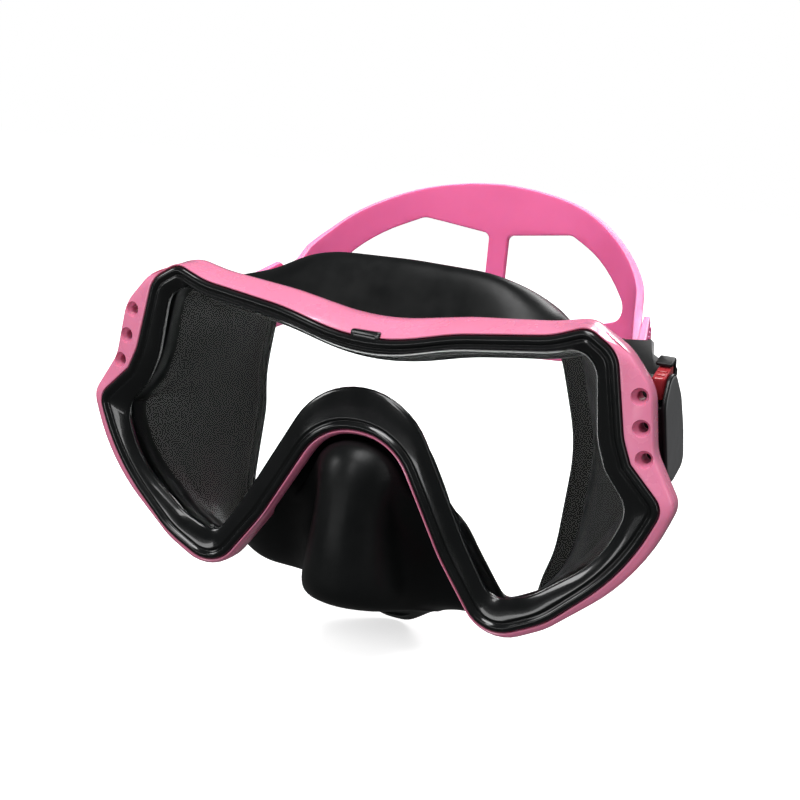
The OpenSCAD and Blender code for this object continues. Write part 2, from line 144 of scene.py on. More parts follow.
def ramp(nodes, low, high, start=0.3, end=0.7):
    node = nodes.new("ShaderNodeValToRGB")
    node.color_ramp.elements[0].position = start
    node.color_ramp.elements[1].position = end
    node.color_ramp.elements[0].color = low
    node.color_ramp.elements[1].color = high
    return node


def grey4(v):
    return (v, v, v, 1)


def noise(nodes, links, scale, detail=4, stretch=(1, 1, 1)):
    coords = nodes.new("ShaderNodeTexCoord")
    mapping = nodes.new("ShaderNodeMapping")
    mapping.inputs["Scale"].default_value = stretch
    tex = nodes.new("ShaderNodeTexNoise")
    tex.inputs["Scale"].default_value = scale
    tex.inputs["Detail"].default_value = detail
    links.new(coords.outputs["Object"], mapping.inputs["Vector"])
    links.new(mapping.outputs["Vector"], tex.inputs["Vector"])
    return tex


def moulded(name, dark, light, rough, grain, bump, spread=0.05, mottling=35, **sockets):
    """Moulded plastic or rubber: two close tones, uneven gloss, fine grain and faint flow marks."""
    mat, nodes, links, shader = new_material(name)
    cloud = noise(nodes, links, mottling, 5)
    tones = ramp(nodes, (*dark, 1), (*light, 1))
    links.new(cloud.outputs["Fac"], tones.inputs["Fac"])
    links.new(tones.outputs["Color"], shader.inputs["Base Color"])
    wear = noise(nodes, links, mottling * 5, 6)
    gloss = ramp(nodes, grey4(rough - spread), grey4(rough + spread))
    links.new(wear.outputs["Fac"], gloss.inputs["Fac"])
    links.new(gloss.outputs["Color"], shader.inputs["Roughness"])
    fine = noise(nodes, links, grain, 3)
    lift = nodes.new("ShaderNodeBump")
    lift.inputs["Strength"].default_value = bump
    lift.inputs["Distance"].default_value = 0.00012
    links.new(fine.outputs["Fac"], lift.inputs["Height"])
    links.new(lift.outputs["Normal"], shader.inputs["Normal"])
    for key, value in sockets.items():
        shader.inputs[key.replace("_", " ")].default_value = value
    return mat


def lens_glass():
    mat, nodes, links, shader = new_material("tempered_glass")
    smear = noise(nodes, links, 22, 4)
    haze = ramp(nodes, grey4(0.0), grey4(0.035), 0.45, 0.8)
    links.new(smear.outputs["Fac"], haze.inputs["Fac"])
    links.new(haze.outputs["Color"], shader.inputs["Roughness"])
    tint = ramp(nodes, (0.96, 0.985, 0.975, 1), (0.985, 1, 0.995, 1))
    links.new(smear.outputs["Fac"], tint.inputs["Fac"])
    links.new(tint.outputs["Color"], shader.inputs["Base Color"])
    shader.inputs["Transmission Weight"].default_value = 1
    shader.inputs["IOR"].default_value = 1.2
    return mat


def brushed_steel():
    mat, nodes, links, shader = new_material("brushed_steel")
    streak = noise(nodes, links, 900, 3, (1, 0.05, 0.05))
    tones = ramp(nodes, grey4(0.5), grey4(0.68))
    links.new(streak.outputs["Fac"], tones.inputs["Fac"])
    links.new(tones.outputs["Color"], shader.inputs["Base Color"])
    gloss = ramp(nodes, grey4(0.22), grey4(0.36))
    links.new(streak.outputs["Fac"], gloss.inputs["Fac"])
    links.new(gloss.outputs["Color"], shader.inputs["Roughness"])
    lift = nodes.new("ShaderNodeBump")
    lift.inputs["Strength"].default_value = 0.15
    lift.inputs["Distance"].default_value = 0.00005
    links.new(streak.outputs["Fac"], lift.inputs["Height"])
    links.new(lift.outputs["Normal"], shader.inputs["Normal"])
    shader.inputs["Metallic"].default_value = 1
    return mat


MATS = {
    "pink_plastic": moulded("pink_gloss_plastic", (0.62, 0.175, 0.29), (0.67, 0.20, 0.325), 0.26, 1400,
                            0.008, Coat_Weight=0.6, Coat_Roughness=0.1, Subsurface_Weight=0.15,
                            Subsurface_Scale=0.002),
    "black_gloss": moulded("black_gloss_plastic", (0.0022, 0.0026, 0.0028), (0.0045, 0.005, 0.0052), 0.2,
                           1100, 0.03, Specular_IOR_Level=0.2, Coat_Weight=0.45, Coat_Roughness=0.06),
    "black_silicone": moulded("black_silicone", (0.0028, 0.0032, 0.0033), (0.006, 0.0066, 0.0067), 0.36,
                              2200, 0.08, 0.07, Specular_IOR_Level=0.16),
    "pink_silicone": moulded("pink_silicone", (0.66, 0.105, 0.27), (0.72, 0.125, 0.31), 0.5, 2400, 0.1,
                             0.06, Specular_IOR_Level=0.3, Subsurface_Weight=0.25,
                             Subsurface_Scale=0.003),
    # Paler pink used only on the strap's upward and downward facing edge faces: a painted highlight.
    "pink_painted_highlight": moulded("pink_silicone_painted_edge_highlight", (0.76, 0.25, 0.46), (0.80, 0.29, 0.50), 0.42, 2400, 0.08,
                         0.06, Specular_IOR_Level=0.3, Subsurface_Weight=0.4, Subsurface_Scale=0.004),
    "black_plastic": moulded("black_matte_plastic", (0.004, 0.0044, 0.0046), (0.008, 0.0085, 0.0088),
                             0.34, 2600, 0.15, 0.07, Specular_IOR_Level=0.3),
    "grey_plastic": moulded("grey_matte_plastic", (0.088, 0.09, 0.092), (0.115, 0.117, 0.12), 0.5,
                            2800, 0.35, 0.07, Specular_IOR_Level=0.3),
    "red_plastic": moulded("red_gloss_plastic", (0.34, 0.022, 0.03), (0.42, 0.035, 0.042), 0.26, 1500,
                           0.03, Coat_Weight=0.4, Coat_Roughness=0.1),
    "lens_glass": lens_glass(),
    "steel": brushed_steel(),
}

# ---------------------------------------------------------------- outlines, in millimetres


def unit(v):
    length = math.hypot(*v)
    return tuple(a / length for a in v)


def mix(a, b, t):
    return tuple(p * (1 - t) + q * t for p, q in zip(a, b))


def smooth(t):
    u = min(max(t, 0), 1)
    return u * u * (3 - 2 * u)


def lookup(x, table):
    if x <= table[0][0]:
        return table[0][1]
    for (x0, y0), (x1, y1) in zip(table, table[1:]):
        if x <= x1:
            return y0 + (y1 - y0) * (x - x0) / (x1 - x0)
    return table[-1][1]


def corner_arc(a, p, b, n=None):
    """Points of the arc that rounds corner p between its neighbours a and b."""
    u = unit((a[0] - p[0], a[1] - p[1]))
    w = unit((b[0] - p[0], b[1] - p[1]))
    half = math.acos(max(-1, min(1, u[0] * w[0] + u[1] * w[1]))) / 2
    if p[2] <= 0 or math.degrees(half) > 89.7:
        return [(p[0], p[1])] * (n + 1 if n else 1)
    d = unit((u[0] + w[0], u[1] + w[1]))
    reach = p[2] / math.sin(half)
    mid = (p[0] + d[0] * reach, p[1] + d[1] * reach)
    run = p[2] / math.tan(half)
    start = math.atan2(p[1] + u[1] * run - mid[1], p[0] + u[0] * run - mid[0])
    end = math.atan2(p[1] + w[1] * run - mid[1], p[0] + w[0] * run - mid[0])
    turn = (end - start + 3 * math.pi) % (2 * math.pi) - math.pi
    n = n or max(1, math.ceil(abs(turn) / math.radians(5)))
    return [(mid[0] + p[2] * math.cos(start + turn * i / n),
             mid[1] + p[2] * math.sin(start + turn * i / n)) for i in range(n + 1)]


def both(first, corners):
    return [first] + corners + [(-c[0], c[1], c[2]) for c in reversed(corners)]


def matched_loop(corners, arc_n=8, line_n=8):
    """Closed outline with the same number of points at each corner, so that two outlines pair up."""
    n = len(corners)
    arcs = [corner_arc(corners[i - 1], corners[i], corners[(i + 1) % n], arc_n) for i in range(n)]
    points = []
    for i in range(n):
        points += arcs[i]
        a, b = arcs[i][-1], arcs[(i + 1) % n][0]
        points += [mix(a, b, (k + 1) / (line_n + 1)) for k in range(line_n)]
    return points


def outline(corners):
    n = len(corners)
    return [p for i in range(n)
            for p in corner_arc(corners[i - 1], corners[i], corners[(i + 1) % n])]


def route(corners):
    points = [corners[0][:2]]
    for a, p, b in zip(corners, corners[1:], corners[2:]):
        points += corner_arc(a, p, b)
    return points + [corners[-1][:2]]


def spaced(points, n, closed=True):
    """n even points along an outline."""
    pts = list(points) + ([points[0]] if closed else [])
    at = [0]
    for a, b in zip(pts, pts[1:]):
        at.append(at[-1] + math.dist(a, b))
    out, k = [], 0
    for i in range(n):
        s = at[-1] * i / (n if closed else n - 1)
        while k < len(at) - 2 and at[k + 1] < s:
            k += 1
        span = at[k + 1] - at[k] or 1
        out.append(mix(pts[k], pts[k + 1], min(1, (s - at[k]) / span)))
    return out


def inward_normals(loop):
    n = len(loop)
    out = []
    for i in range(n):
        a, b = loop[i - 1], loop[(i + 1) % n]
        if math.dist(a, b) < 1e-6:
            a, b = loop[i - 2], loop[(i + 2) % n]
        d = unit((b[0] - a[0], b[1] - a[1]))
        out.append((d[1], -d[0]))
    return out


RING = both((0, 30.5, 58), [(25, 37, 72), (50, 40.5, 26), (59, 44, 5), (67, 39, 8), (71, 18.5, 17),
                            (73.5, 12.5, 2), (83, 3, 5), (75.5, -15, 60), (57, -32.5, 29),
                            (41, -40.5, 10), (27, -21.5, 51), (10.5, 7.5, 17)])
OPENING = both((0, 26.3, 50), [(24, 32.6, 70), (50, 36, 26), (57.5, 38.5, 6), (62, 34, 7),
                               (64.2, 17, 24), (67, 9.5, 10), (74, 1, 7), (69.5, -13, 32),
                               (52.5, -26.5, 16), (41.8, -30.5, 6), (33, -17, 55), (13, 18.9, 22)])
FRAME = both((0, 36.5, 70), [(26, 41, 80), (48, 43.2, 50), (58, 45.4, 8), (69, 40, 14),
                             (76.3, 31, 12), (78.6, 15.5, 12), (85.8, 3.5, 6), (79, -15.8, 55),
                             (57, -34.6, 23), (41, -43, 12), (25.6, -21.2, 50), (9.4, 6, 15)])
RIM = both((0, 51.5, 60), [(32, 50.5, 40), (48, 38, 24), (54.5, 10, 50), (54, -25, 30),
                           (47, -45.5, 14), (20, -45.5, 16), (4, -57, 8)])
RIM_DEPTH = [(-90, 0), (-60, -8), (-35, -4), (0, 3), (35, -3), (60, -12), (90, -13)]
WING_HOLES = [(73.6, 29.3), (75, 21.7), (76.7, 14.3)]

ring_loop = matched_loop(RING)
opening_loop = matched_loop(OPENING)
frame_loop = matched_loop(FRAME)
ring_in = inward_normals(ring_loop)
frame_in = inward_normals(frame_loop)

# ---------------------------------------------------------------- mesh helpers


def finish_mesh(bm, name, material, angle=35):
    bmesh.ops.remove_doubles(bm, verts=bm.verts, dist=1e-7)
    bmesh.ops.dissolve_degenerate(bm, edges=bm.edges, dist=1e-7)
    bmesh.ops.recalc_face_normals(bm, faces=bm.faces)
    mesh = bpy.data.meshes.new(name)
    bm.to_mesh(mesh)
    bm.free()
    for face in mesh.polygons:
        face.use_smooth = True
    mesh.set_sharp_from_angle(angle=math.radians(angle))
    mesh.materials.append(MATS[material])
    piece = bpy.data.objects.new(name, mesh)
    bpy.context.scene.collection.objects.link(piece)
    return piece


def loft(name, loops, material, closed=True, caps=False, place=None, angle=35):
    """Surface through loops of 3-D points in mm; closed joins the last loop to the first."""
    bm = bmesh.new()
    rows = []
    for loop in loops:
        row = []
        for p in loop:
            v = Vector(p) * MM
            row.append(bm.verts.new(place @ v if place else v))
        rows.append(row)
    m = len(rows)
    n = len(rows[0])
    for k in range(m if closed else m - 1):
        for i in range(n):
            a, b = rows[k], rows[(k + 1) % m]
            bm.faces.new((a[i], a[(i + 1) % n], b[(i + 1) % n], b[i]))
    if caps:
        bm.faces.new(rows[0])
        bm.faces.new(rows[-1])
    return finish_mesh(bm, name, material, angle)


def inset(loop, d):
    """A closed 2-D outline moved in by d, whichever way it runs."""
    area = sum(a[0] * b[1] - b[0] * a[1] for a, b in zip(loop, loop[1:] + loop[:1]))
    sign = -1 if area > 0 else 1
    return [(p[0] + q[0] * d * sign, p[1] + q[1] * d * sign)
            for p, q in zip(loop, inward_normals(loop))]


def prism(name, shape, low, high, axis, material, place=None, bevel=0.3, crown=0.0, lean=None):
    """Slab of a rounded 2-D outline along an axis, with rounded rims and an optional crown."""
    steps = 4
    levels = []
    for i in range(steps + 1):
        a = math.pi / 2 * i / steps
        levels.append((bevel * (1 - math.sin(a)), low + bevel * (1 - math.cos(a))))
    for i in range(steps + 1):
        a = math.pi / 2 * i / steps
        levels.append((bevel * (1 - math.cos(a)), high - bevel * (1 - math.sin(a))))
    if crown:
        cx = sum(p[0] for p in shape) / len(shape)
        cy = sum(p[1] for p in shape) / len(shape)
    loops = []
    for d, h in levels:
        loops.append([axis_point(p, h, axis, lean) for p in inset(shape, d)])
    if crown:
        rim = inset(shape, bevel)
        for t in (0.85, 0.65, 0.45, 0.25, 0.1):
            loops.append([axis_point(mix((cx, cy), p, t), high + crown * (1 - t * t), axis, lean)
                          for p in rim])
    return loft(name, loops, material, closed=False, caps=True, place=place)


def axis_point(p, h, axis, lean=None):
    if axis == "x":
        shift = lean(p) if lean else 0
        return (h + shift, p[0], p[1])
    if axis == "y":
        return (p[0], h, p[1])
    return (p[0], p[1], h)


def box_shape(x0, y0, x1, y1, r=0.4):
    return outline([(x0, y0, r), (x1, y0, r), (x1, y1, r), (x0, y1, r)])


def join(name, pieces):
    bpy.ops.object.select_all(action="DESELECT")
    for piece in pieces:
        piece.select_set(True)
    bpy.context.view_layer.objects.active = pieces[0]
    bpy.ops.object.join()
    pieces[0].name = name
    return pieces[0]


def cut(piece, cutters):
    tool = join("cutter", cutters)
    mod = piece.modifiers.new("cut", "BOOLEAN")
    mod.object = tool
    mod.solver = "EXACT"
    bpy.context.view_layer.objects.active = piece
    bpy.ops.object.modifier_apply(modifier="cut")
    bpy.data.objects.remove(tool)
    for face in piece.data.polygons:
        face.use_smooth = True
    piece.data.set_sharp_from_angle(angle=math.radians(35))


def settle(piece, body, slot_name, *nodes):
    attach(piece, body)
    if nodes:
        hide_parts(*nodes)


# ---------------------------------------------------------------- front of the mask


def level(loop, normals, d, y):
    return [(p[0] + q[0] * d, y if not callable(y) else y(p), p[1] + q[1] * d)
            for p, q in zip(loop, normals)]


def between(a, b, t, y):
    return [(p[0] * (1 - t) + q[0] * t, y if not callable(y) else y(p), p[1] * (1 - t) + q[1] * t)
            for p, q in zip(a, b)]


def make_ring():
    bead = [(1.3, -36.8), (0.2, -36.8), (0, -37.1), (0, -38.7), (0.1, -39.3), (0.35, -39.7),
            (0.75, -39.95), (1.2, -40), (1.6, -39.88), (1.9, -39.6), (2.1, -39.3), (2.35, -39.15),
            (2.6, -39.2), (2.8, -39.45), (3.05, -39.55), (3.3, -39.5)]
    loops = [level(ring_loop, ring_in, d, y) for d, y in bead]
    shelf = [(p[0] + q[0] * 3.3, p[1] + q[1] * 3.3) for p, q in zip(ring_loop, ring_in)]
    lip = [(0.35, -39.15), (0.65, -38.65), (0.86, -38.2), (0.94, -38.0), (0.985, -37.7), (1, -37.3),
           (1, -36.86), (0.8, -36.8)]
    loops += [between(shelf, opening_loop, t, y) for t, y in lip]
    ring = loft("front_ring", loops, "black_gloss", angle=50)
    tab = prism("clip_tab", box_shape(-4.25, 31.0, 4.25, 34.4, 0.8), -39.6, -37.6, "y", "black_gloss",
                bevel=0.35)
    step = prism("clip_step", box_shape(-3.4, 31.6, 3.4, 33.4, 0.5), -39.85, -38.6, "y", "black_gloss",
                 bevel=0.25)
    ring = join("front_ring", [ring, tab, step])
    settle(ring, "mask", "black_gloss", "retaining_ring")


def brow_share(p):
    return smooth((p[1] - 27) / 9) * smooth((69 - abs(p[0])) / 13)


def nose_part(p):
    return smooth((27 - abs(p[0])) / 3) * (1 if p[1] < 18 else 0)


def make_frame():
    def front(share_flat, share_brow):
        return lambda p: share_flat * (1 - brow_share(p)) + share_brow * brow_share(p)

    def back(y):
        return lambda p: (y + 3 * brow_share(p)) * (1 - nose_part(p)) - 35.6 * nose_part(p)

    groove = [(-0.12, -37.4), (-0.14, -38.9), (-0.3, -39.15), (-0.55, -39.2)]
    loops = [level(ring_loop, ring_in, d, y) for d, y in groove]
    edge = [(p[0] - q[0] * 0.55, p[1] - q[1] * 0.55) for p, q in zip(ring_loop, ring_in)]
    rim = [(p[0] + q[0] * 0.35, p[1] + q[1] * 0.35) for p, q in zip(frame_loop, frame_in)]
    face = [(0.12, -39.15, -38.7), (0.3, -39.0, -37.7), (0.5, -38.85, -36.4), (0.7, -38.7, -35.0),
            (0.88, -38.5, -33.6), (1, -38.2, -32.6)]
    loops += [between(edge, rim, t, front(flat, brow)) for t, flat, brow in face]
    side = [(0.12, front(-37.8, -31.9)), (0, front(-37.2, -31.2)), (0, front(-35.6, -30.4)),
            (0, back(-33.4)), (0.15, back(-32.2)), (0.5, back(-31.75)), (1.0, back(-31.6))]
    loops += [level(frame_loop, frame_in, d, y) for d, y in side]
    loops += [level(ring_loop, ring_in, 0.9, back(-31.6)), level(ring_loop, ring_in, 1.2, back(-31.9)),
              level(ring_loop, ring_in, 1.2, -36.6), level(ring_loop, ring_in, 0.6, -36.75)]
    body = loft("brow_frame", loops, "pink_plastic", angle=50)
    cutters = []
    for side_sign in SIDES.values():
        for x, z in WING_HOLES:
            dish = [(2.3, -40.5), (2.25, -38.9), (2.15, -38.3), (2.0, -37.8), (1.75, -37.4),
                    (1.45, -37.05), (1.25, -36.8), (1.2, -36.4), (1.2, -30)]
            loops = [[(side_sign * x + r * math.cos(a), y, z + r * math.sin(a))
                      for a in (math.tau * i / 40 for i in range(40))] for r, y in dish]
            cutters.append(loft("dish", loops, "pink_plastic", closed=False, caps=True))
    cut(body, cutters)
    arms = []
    for sign in SIDES.values():
        arm = outline([(-30.4, 13.4, 1), (-20, 13.6, 2), (-13.3, 17, 4), (-13.3, 23, 4),
                       (-20, 26.4, 2), (-30.4, 26.6, 1)])
        place = Matrix.Diagonal((sign, 1, 1, 1))
        arms.append(prism("arm", arm, 66.6, 69.2, "x", "pink_plastic", place, 0.4))
        rib = box_shape(-32.2, 13.4, -28.5, 26.6, 0.6)
        arms.append(prism("arm", rib, 68.6, 71.5, "x", "pink_plastic", place, 0.4))
    body = join("brow_frame", [body] + arms)
    settle(body, "mask", "pink_plastic", "frame")


# ---------------------------------------------------------------- skirt

NOSE = [(11, -34, 4.6, 2, 7, 1), (11, -40, 3.2, 5, 7, 0.75), (10, -45, -4, 8, 5, 0.35),
        (11, -48, -16, 13, 2, 0.1), (13, -49.5, -28, 16, 0, 0), (14.5, -48.5, -36, 17, 0, 0),
        (15, -43, -40.5, 14, 0, 0), (16, -32, -43, 8, 0, 0), (18, -14, -47, 2, 0, 0)]
NOSE_FULL = 0.1
NOSE_END = 0.17
SEAT_Y = -30.4
LENS_BACK_Y = -32.8
SKIRT_N = 240


def from_bottom(points, n):
    """A symmetric outline as n even points from its bottom centre."""
    m = len(points)
    low = next(k for k in range(m // 4, 3 * m // 4) if points[k][0] > 0 and points[k + 1][0] <= 0)
    a, b = points[low], points[low + 1]
    start = mix(a, b, a[0] / (a[0] - b[0]))
    return spaced([start] + [points[(low + i) % m] for i in range(1, m + 1)], n)


def catmull(a, b, c, d, t):
    return Vector([0.5 * (2 * q + (r - p) * t + (2 * p - 5 * q + 4 * r - s) * t * t
                          + (3 * q - p - 3 * r + s) * t ** 3) for p, q, r, s in zip(a, b, c, d)])


def skirt_walls():
    even = from_bottom(outline(RING), SKIRT_N)
    normal = inward_normals(even)

    def drawn(d, y):
        return [Vector((p[0] + q[0] * d, y, p[1] + q[1] * d)) for p, q in zip(even, normal)]

    def along(i):
        return min(i, SKIRT_N - i) / (SKIRT_N / 2)

    def share(i):
        return 1 - smooth((along(i) - NOSE_FULL) / (NOSE_END - NOSE_FULL))

    def seat(d0, y0, d1, y1):
        return [a.lerp(b, share(i)) for i, (a, b) in enumerate(zip(drawn(d0, y0), drawn(d1, y1)))]

    first = seat(3.6, SEAT_Y, 1.5, SEAT_Y + 0.2)
    turn = seat(5.2, SEAT_Y + 0.8, 0.9, SEAT_Y + 0.5)
    arch = drawn(-3, 0)
    rim = []
    for p in from_bottom(outline(RIM), SKIRT_N):
        rim.append(Vector((p[0], lookup(math.degrees(math.atan2(p[1], abs(p[0]))), RIM_DEPTH), p[1])))
    walls = []
    count = len(NOSE) + 1
    for k in range(count + 1):
        loop = []
        for i in range(SKIRT_N):
            t = (k + 1) / (count + 1)
            f, r = first[i], rim[i]
            a = Vector((f.x * 0.9, f.y + 9, f.z))
            b = r + Vector((r.x * 0.02, -9, r.z * 0.05))
            plain = f * (1 - t) ** 3 + a * 3 * (1 - t) ** 2 * t + b * 3 * (1 - t) * t * t + r * t ** 3
            if k == 0:
                loop.append(turn[i])
            elif k == count:
                loop.append(r)
            else:
                s = NOSE[k - 1]
                bend = math.pi / 2 * min(1, along(i) / NOSE_FULL)
                side = -1 if i <= SKIRT_N / 2 else 1
                pull = 1 - math.cos(bend)
                y = s[1] + s[3] * pull
                free = Vector((side * s[0] * math.sin(bend), y, s[2] - s[4] * pull))
                tied = Vector((arch[i].x, y, arch[i].z))
                loop.append(plain.lerp(free.lerp(tied, s[5]), share(i)))
        walls.append(loop)
    return drawn, seat, first, walls


def fine_rows(rows, steps):
    out = []
    for k in range(len(rows) - 1):
        before = rows[max(k - 1, 0)]
        after = rows[min(k + 2, len(rows) - 1)]
        for j in range(steps):
            t = j / steps
            out.append([catmull(a, b, c, d, t)
                        for a, b, c, d in zip(before, rows[k], rows[k + 1], after)])
    return out + [rows[-1]]


def relaxed(loop, passes):
    """A closed loop with small kinks smoothed away."""
    for _ in range(passes):
        n = len(loop)
        loop = [loop[i] * 0.5 + (loop[i - 1] + loop[(i + 1) % n]) * 0.25 for i in range(n)]
    return loop


def make_skirt():
    drawn, seat, first, walls = skirt_walls()
    walls = [walls[0]] + [relaxed(w, 3) for w in walls[1:]]
    rows = fine_rows([first] + walls, 4)[1:]
    n = SKIRT_N
    last = rows[-1]
    flat = [(p.x, p.z) for p in last]
    turn_in = inward_normals(flat)
    lip = []
    for d, y in ((0.5, 0.35), (1.5, 0.5), (3.0, 0.2), (5.0, -0.8), (7.0, -2.3), (9.0, -4.2)):
        loop = []
        for i in range(n):
            low = smooth((-last[i].z - 30) / 20)
            reach = d * (0.66 - 0.36 * low)
            loop.append(Vector((last[i].x + turn_in[i][0] * reach, last[i].y + y * (1 - 0.3 * low),
                                last[i].z + turn_in[i][1] * reach)))
        lip.append(relaxed(loop, 2))
    outer = rows + lip
    inner = []
    m = len(outer)
    for k in range(m):
        lo, hi = outer[max(k - 1, 0)], outer[min(k + 1, m - 1)]
        thick = 1.8 * (1 - 0.5 * min(1, k / len(rows))) * (1 if k < len(rows) else 0.85)
        loop = []
        for i in range(n):
            across = outer[k][(i + 1) % n] - outer[k][i - 1]
            loop.append(outer[k][i] + (hi[i] - lo[i]).cross(across).normalized() * thick)
        inner.append(relaxed(loop, 2))
    loops = [drawn(1.5, -36.75), drawn(1.5, SEAT_Y - 0.3), drawn(1.8, SEAT_Y), first] + outer
    loops += list(reversed(inner))
    loops += [seat(5.4, LENS_BACK_Y + 0.05, 5.4, LENS_BACK_Y + 2), drawn(2.3, LENS_BACK_Y + 0.05),
              drawn(2.3, -36.75)]
    skirt = loft("skirt_shell", loops, "black_silicone", angle=60)
    settle(skirt, "mask", "black_silicone", "skirt")


# ---------------------------------------------------------------- strap

STRAP_T = 2.4
STRAP_W = 17
STRAP_MID = 1
STRAP_ROUTE = [(62.9, -5, 0), (52.6, 32.5, 22), (29, 51, 40), (0, 53, 120)]
STRAP_TOP = [(62, 38, 0), (57, 41.5, 6), (49, 55.5, 40), (31, 67, 58), (11, 71.2, 80), (0, 71.6, 0)]
STRAP_BOTTOM = [(62, 21, 0), (40, 24.5, 30), (27, 19.5, 10), (0, 17, 30)]
STRAP_WINDOW = [(3.2, 55.8, 2), (25, 58.6, 4), (40, 51.5, 40), (50.5, 37.8, 4.5), (40, 34, 20),
                (25, 31.6, 4), (3.2, 31, 2)]
RUN_TOP = [(-7, 33.9), (18, 40.2), (23, 42.4), (27, 46.8)]
RUN_BOTTOM = [(-1.5, 17.7), (22, 22.8)]


def strap_line():
    half = spaced(route(STRAP_ROUTE), 160, False)
    full = half + [(-p[0], p[1]) for p in reversed(half[:-1])]
    at = [0]
    for a, b in zip(full, full[1:]):
        at.append(at[-1] + math.dist(a, b))
    return full, at


def make_strap():
    line, at = strap_line()
    total = at[-1]
    half_n = len(line) // 2 + 1
    s_of_x = sorted((line[i][0], at[i]) for i in range(half_n))
    s_of_y = [(line[i][1], at[i]) for i in range(half_n)]
    upper = [(lookup(y, s_of_y), z) for y, z in RUN_TOP]
    upper += [(lookup(x, s_of_x), z) for x, z in route(STRAP_TOP) if x < 51.5]
    lower = [(lookup(y, s_of_y), z) for y, z in RUN_BOTTOM]
    lower += [(lookup(x, s_of_x), z) for x, z in route(STRAP_BOTTOM) if x < 52.5]
    edge = upper + [(total - s, z) for s, z in reversed(upper[:-1])]
    edge += [(total - s, z) for s, z in lower[:-1]] + list(reversed(lower))
    window = [(lookup(x, s_of_x), z) for x, z in outline(STRAP_WINDOW)]
    other = [(total - s, z) for s, z in window]
    curve = bpy.data.curves.new("strap_shape", "CURVE")
    curve.dimensions = "2D"
    curve.fill_mode = "BOTH"
    round_r = 0.55
    for points in (edge, window, other):
        spline = curve.splines.new("POLY")
        spline.points.add(len(points) - 1)
        for point, (s, z) in zip(spline.points, points):
            point.co = (s * MM, z * MM, 0, 1)
        spline.use_cyclic_u = True
    curve.extrude = (STRAP_T / 2 - round_r) * MM
    curve.bevel_depth = round_r * MM
    curve.bevel_resolution = 2
    curve.offset = -round_r * MM
    shape = bpy.data.objects.new("strap_shape", curve)
    bpy.context.scene.collection.objects.link(shape)
    bpy.context.view_layer.update()
    solid = bpy.data.meshes.new_from_object(shape.evaluated_get(bpy.context.evaluated_depsgraph_get()))
    bpy.data.objects.remove(shape)
    bm = bmesh.new()
    bm.from_mesh(solid)
    bmesh.ops.remove_doubles(bm, verts=bm.verts, dist=1e-6)
    step = 1.6
    for i in range(1, int(total / step)):
        geom = bm.verts[:] + bm.edges[:] + bm.faces[:]
        bmesh.ops.bisect_plane(bm, geom=geom, plane_co=(i * step * MM, 0, 0), plane_no=(1, 0, 0),
                               dist=1e-7)
    xs = list(zip(at, [p[0] for p in line]))
    ys = list(zip(at, [p[1] for p in line]))
    for v in bm.verts:
        s, z, n = v.co.x / MM, v.co.y / MM, v.co.z / MM
        here = (lookup(s, xs), lookup(s, ys))
        ahead = (lookup(s + 0.6, xs), lookup(s + 0.6, ys))
        behind = (lookup(s - 0.6, xs), lookup(s - 0.6, ys))
        d = unit((ahead[0] - behind[0], ahead[1] - behind[1]))
        v.co = Vector((here[0] + d[1] * n, here[1] - d[0] * n, z)) * MM
    band = finish_mesh(bm, "strap_band", "pink_silicone", 50)
    ends = []
    for sign in SIDES.values():
        ends += strap_end(sign)
    strap = join("split_strap", [band] + ends)
    paint_edge_highlight(strap)
    settle(strap, "strap", "pink_silicone", "strap")


def paint_edge_highlight(strap):
    """Gives the rounded edges of the strap, the faces that point up or down, a paler pink tone: a
    painted highlight standing in for the light those edges catch.
    """
    strap.data.materials.append(MATS["pink_painted_highlight"])
    for face in strap.data.polygons:
        # Faces pointing up or down take the paler pink of the painted highlight.
        if abs(face.normal.z) > 0.45:
            face.material_index = 1


def strap_end(sign):
    """Run into the buckle, turn round the roller, and the ribbed tail outside."""
    mid_in = 3.2
    path = [(-1.35, 15), (-1.35, 6), (-2.2, 3), (-3.1, 0.4)]
    path += [(mid_in * math.cos(a), mid_in * math.sin(a))
             for a in (math.pi + math.pi * i / 12 for i in range(13))]
    path += [(3.1, 0.4), (2.2, 3), (1.35, 6), (1.35, 16), (2.1, 25), (2.85, 34)]
    path = spaced(path, 90, False)
    place = side_matrix(sign) @ yawed()
    loops = []
    n = len(path)
    for k, (x, y) in enumerate(path):
        a, b = path[max(k - 1, 0)], path[min(k + 1, n - 1)]
        d = unit((b[0] - a[0], b[1] - a[1]))
        normal = (d[1], -d[0])
        tail = max(0, (k / (n - 1) - 0.75) / 0.25)
        t = STRAP_T * (1 - 0.3 * tail)
        half = STRAP_W / 2 - (2.5 * smooth((k / (n - 1) - 0.95) / 0.05))
        section = box_shape(-t / 2, -half, t / 2, half, 0.55)
        loops.append([(x + normal[0] * u, y + normal[1] * u, STRAP_MID + w) for u, w in section])
    pieces = [loft("strap_end", loops, "pink_silicone", closed=False, caps=True, place=place)]
    for y in range(17, 32, 3):
        x = STRAP_T + (y - 16) * 0.075 - 0.35
        rib = outline([(x, y, 0.3), (x + 0.95, y + 0.2, 0.35), (x + 0.95, y + 1.1, 0.35),
                       (x, y + 1.3, 0.3)])
        pieces.append(prism("rib", rib, STRAP_MID - 6, STRAP_MID + 6, "z", "pink_silicone", place, 0.3))
    return pieces


# ---------------------------------------------------------------- buckles

PIVOT = Vector((0, -18, 20))
PITCH = math.radians(18)
YAW = math.radians(15.5)
ROLLER = Vector((65, 9.5, 0))
ARM_IN = STRAP_W / 2 + 0.5
ARM_OUT = ARM_IN + 2.3
PLATE_IN = 69.5
PLATE_OUT = 72.5
GUIDE_IN = 72.3
GUIDE_OUT = 76.6
GUIDE_T = 1.1
